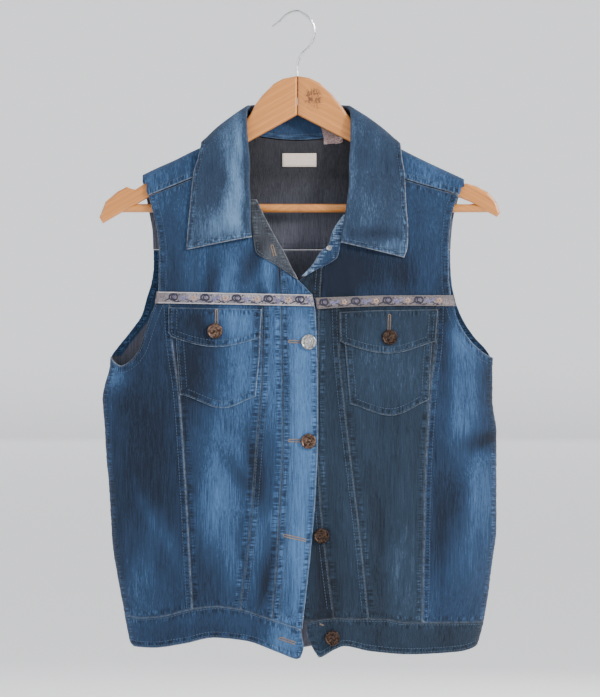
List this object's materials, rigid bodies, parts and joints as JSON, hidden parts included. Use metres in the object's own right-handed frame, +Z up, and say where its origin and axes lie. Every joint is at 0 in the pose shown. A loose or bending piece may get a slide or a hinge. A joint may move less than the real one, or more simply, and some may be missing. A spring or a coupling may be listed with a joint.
{
  "type": "denim vest on a wooden hanger",
  "caption": "Sleeveless denim vest with collar, flap pockets and ribbon trim, hanging buttoned on a wooden clothes hanger with a wire hook.",
  "frame": {"origin": "the inside top of the hook, where a rail bears", "axes": "+Z up, +X to the right seen from the front, the front faces -Y"},
  "size_m": [0.4445, 0.0811, 0.7172],
  "materials": {
    "denim": "washed blue slub denim, matte",
    "denim_back": "washed blue slub denim, greyer on its inner face",
    "ribbon": "woven ribbon with small flowers and scrolls",
    "label": "blank woven label",
    "wood": "varnished pale hardwood with a knot",
    "hook": "plated steel wire",
    "button_silver": "worn silver-grey metal",
    "button_bronze": "dark antique bronze"
  },
  "bodies": {
    "root": {"side_front_left": "denim", "side_front_right": "denim", "pocket_panel_left": "denim", "pocket_panel_right": "denim", "centre_front_left": "denim", "centre_front_right": "denim", "placket_over": "denim", "placket_under": "denim", "front_yoke_left": "denim", "front_yoke_right": "denim", "waistband_left": "denim", "waistband_right": "denim", "pocket_left": "denim", "pocket_right": "denim", "flap_left": "denim", "flap_right": "denim", "collar": "denim", "stand_right": "denim", "back_yoke": "denim_back", "back_panel": "denim_back", "waistband_back": "denim_back", "stand_back": "denim_back", "stand_left": "denim_back", "ribbon_left": "ribbon", "ribbon_right": "ribbon", "neck_label": "label", "neck_patch": "label", "hanger_arm_left": "wood", "hanger_arm_right": "wood", "hanger_bar": "wood", "hanger_hook": "hook", "button_front_1": "button_silver", "button_collar": "button_silver", "button_front_2": "button_bronze", "button_front_3": "button_bronze", "button_front_4": "button_bronze", "button_flap_left": "button_bronze", "button_flap_right": "button_bronze"}
  },
  "joints": []
}
